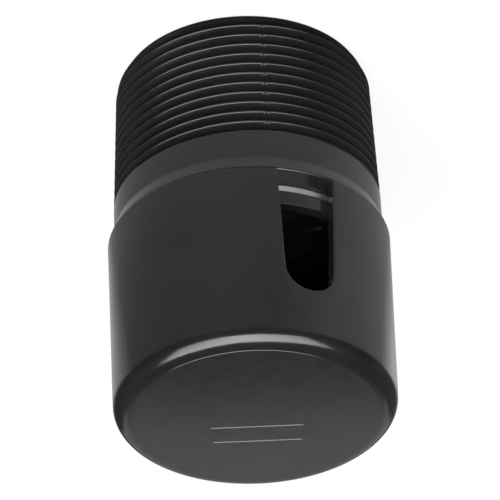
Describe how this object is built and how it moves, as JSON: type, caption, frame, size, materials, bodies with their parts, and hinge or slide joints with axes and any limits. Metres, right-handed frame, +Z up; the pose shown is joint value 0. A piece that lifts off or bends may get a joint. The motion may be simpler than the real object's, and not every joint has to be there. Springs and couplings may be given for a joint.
{
  "type": "air admittance valve",
  "caption": "Spring-loaded air admittance valve: black moulded body with a male taper pipe thread, under a closed round cap with arched air windows.",
  "frame": {"origin": "centre of the thread's end face", "axes": "+Z up along the valve's axis, from the thread to the closed cap; the air windows face -Y and +Y"},
  "size_m": [0.0516, 0.0516, 0.0723],
  "materials": {
    "body_plastic": "black moulded plastic, satin",
    "cap_plastic": "black moulded plastic, satin",
    "plunger_plastic": "dark moulded plastic, matt",
    "seal_rubber": "black rubber, matt",
    "spring_steel": "drawn stainless wire"
  },
  "bodies": {
    "housing": {"threaded_body": "body_plastic", "vent_cap": "cap_plastic", "return_spring": "spring_steel"},
    "valve": {"valve_plunger": "plunger_plastic", "seal_washer": "seal_rubber", "spring_retainer": "plunger_plastic"}
  },
  "joints": [
    {"name": "valve_opening", "type": "slide", "parent": "housing", "child": "valve", "axis": [0, 0, -1], "range_m": [0, 0.006], "stiffness_N_per_m": 50, "springref_m": -0.005, "deforming": ["return_spring"]}
  ]
}
